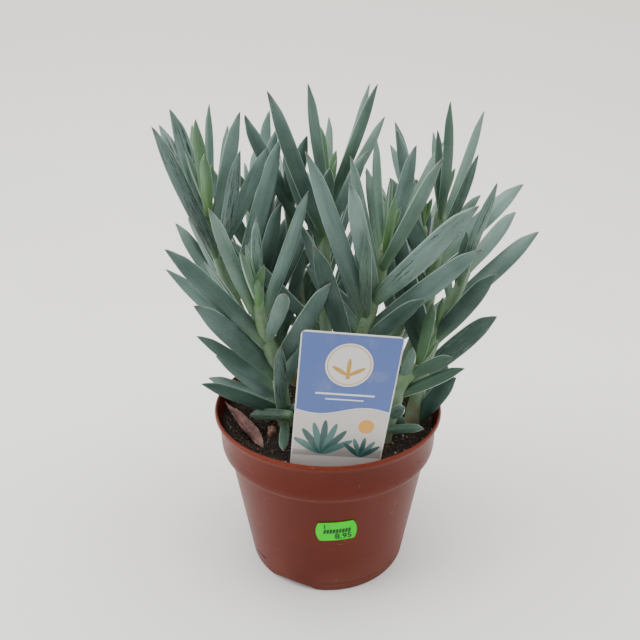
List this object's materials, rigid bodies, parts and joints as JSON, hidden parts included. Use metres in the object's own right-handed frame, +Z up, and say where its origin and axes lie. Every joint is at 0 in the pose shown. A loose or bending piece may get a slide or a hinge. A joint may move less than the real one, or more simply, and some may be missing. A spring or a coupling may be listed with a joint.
{
  "type": "potted mount everest senecio",
  "caption": "Upright blue chalk-stick succulent with fleshy sickle-shaped leaves, growing in soil in a moulded plastic nursery pot with a plant tag and a price label.",
  "frame": {"origin": "centre of the pot's underside, on the surface it stands on", "axes": "+Z up along the pot's axis, -Y towards the front, where the plant tag and the price label are"},
  "size_m": [0.2445, 0.202, 0.3181],
  "materials": {
    "pot_plastic": "satin terracotta-brown moulded plastic",
    "potting_soil": "loose dark peat with light specks",
    "succulent_leaf": "waxy blue-green with a pale bloom",
    "tag_card": "printed thin plastic",
    "label_paper": "matte fluorescent green paper",
    "dried_leaf": "dry and wrinkled"
  },
  "bodies": {
    "root": {"pot": "pot_plastic", "soil": "potting_soil", "leafy_stem_1": "succulent_leaf", "leafy_stem_2": "succulent_leaf", "leafy_stem_3": "succulent_leaf", "leafy_stem_4": "succulent_leaf", "leafy_stem_5": "succulent_leaf", "leafy_stem_6": "succulent_leaf", "leafy_stem_7": "succulent_leaf", "leafy_stem_8": "succulent_leaf", "leafy_stem_9": "succulent_leaf", "leafy_stem_10": "succulent_leaf", "plant_tag": "tag_card", "price_label": "label_paper", "dried_leaf": "dried_leaf"}
  },
  "joints": []
}
